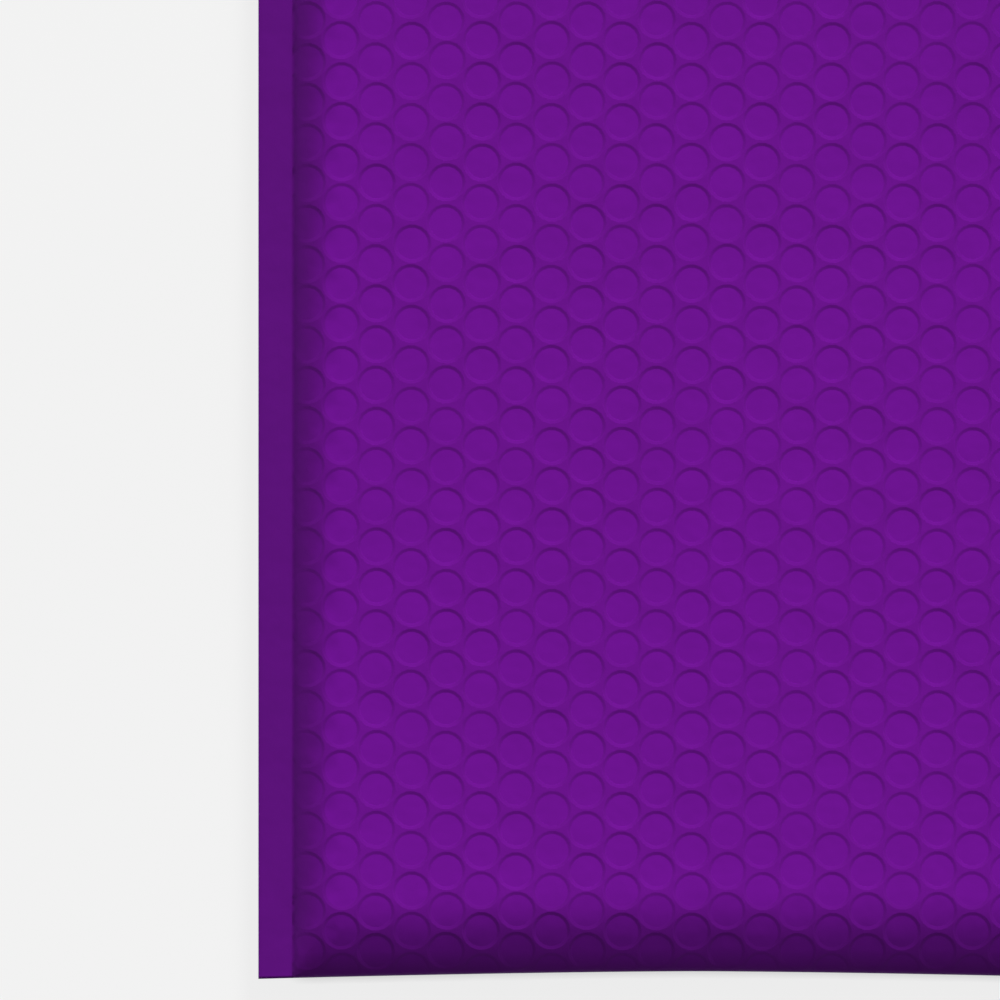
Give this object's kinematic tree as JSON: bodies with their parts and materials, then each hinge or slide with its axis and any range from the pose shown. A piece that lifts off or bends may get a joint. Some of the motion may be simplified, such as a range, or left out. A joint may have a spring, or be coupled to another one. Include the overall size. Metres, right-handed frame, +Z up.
{
  "type": "bubble mailer",
  "caption": "Flat padded mailing bag of glossy-matt purple film with a bubble-cushioned lining, welded sides and an open peel-and-stick flap.",
  "frame": {"origin": "on the surface the mailer lies on, under the middle of its whole length with the flap open", "axes": "+Y runs from the bottom fold to the flap, +Z up through the front panel, +X across to the right weld"},
  "size_m": [0.2414, 0.4102, 0.0134],
  "materials": {
    "purple_film": "soft-sheen opaque polyethylene film, heat-printed with bubble circles",
    "clear_bubble_film": "translucent polyethylene bubble film",
    "hot_melt": "tacky pale amber hot melt",
    "peel_tape": "satin white release tape"
  },
  "bodies": {
    "root": {"outer_film": "purple_film", "bubble_lining": "clear_bubble_film", "adhesive_strip": "hot_melt", "release_liner": "peel_tape"}
  },
  "joints": []
}
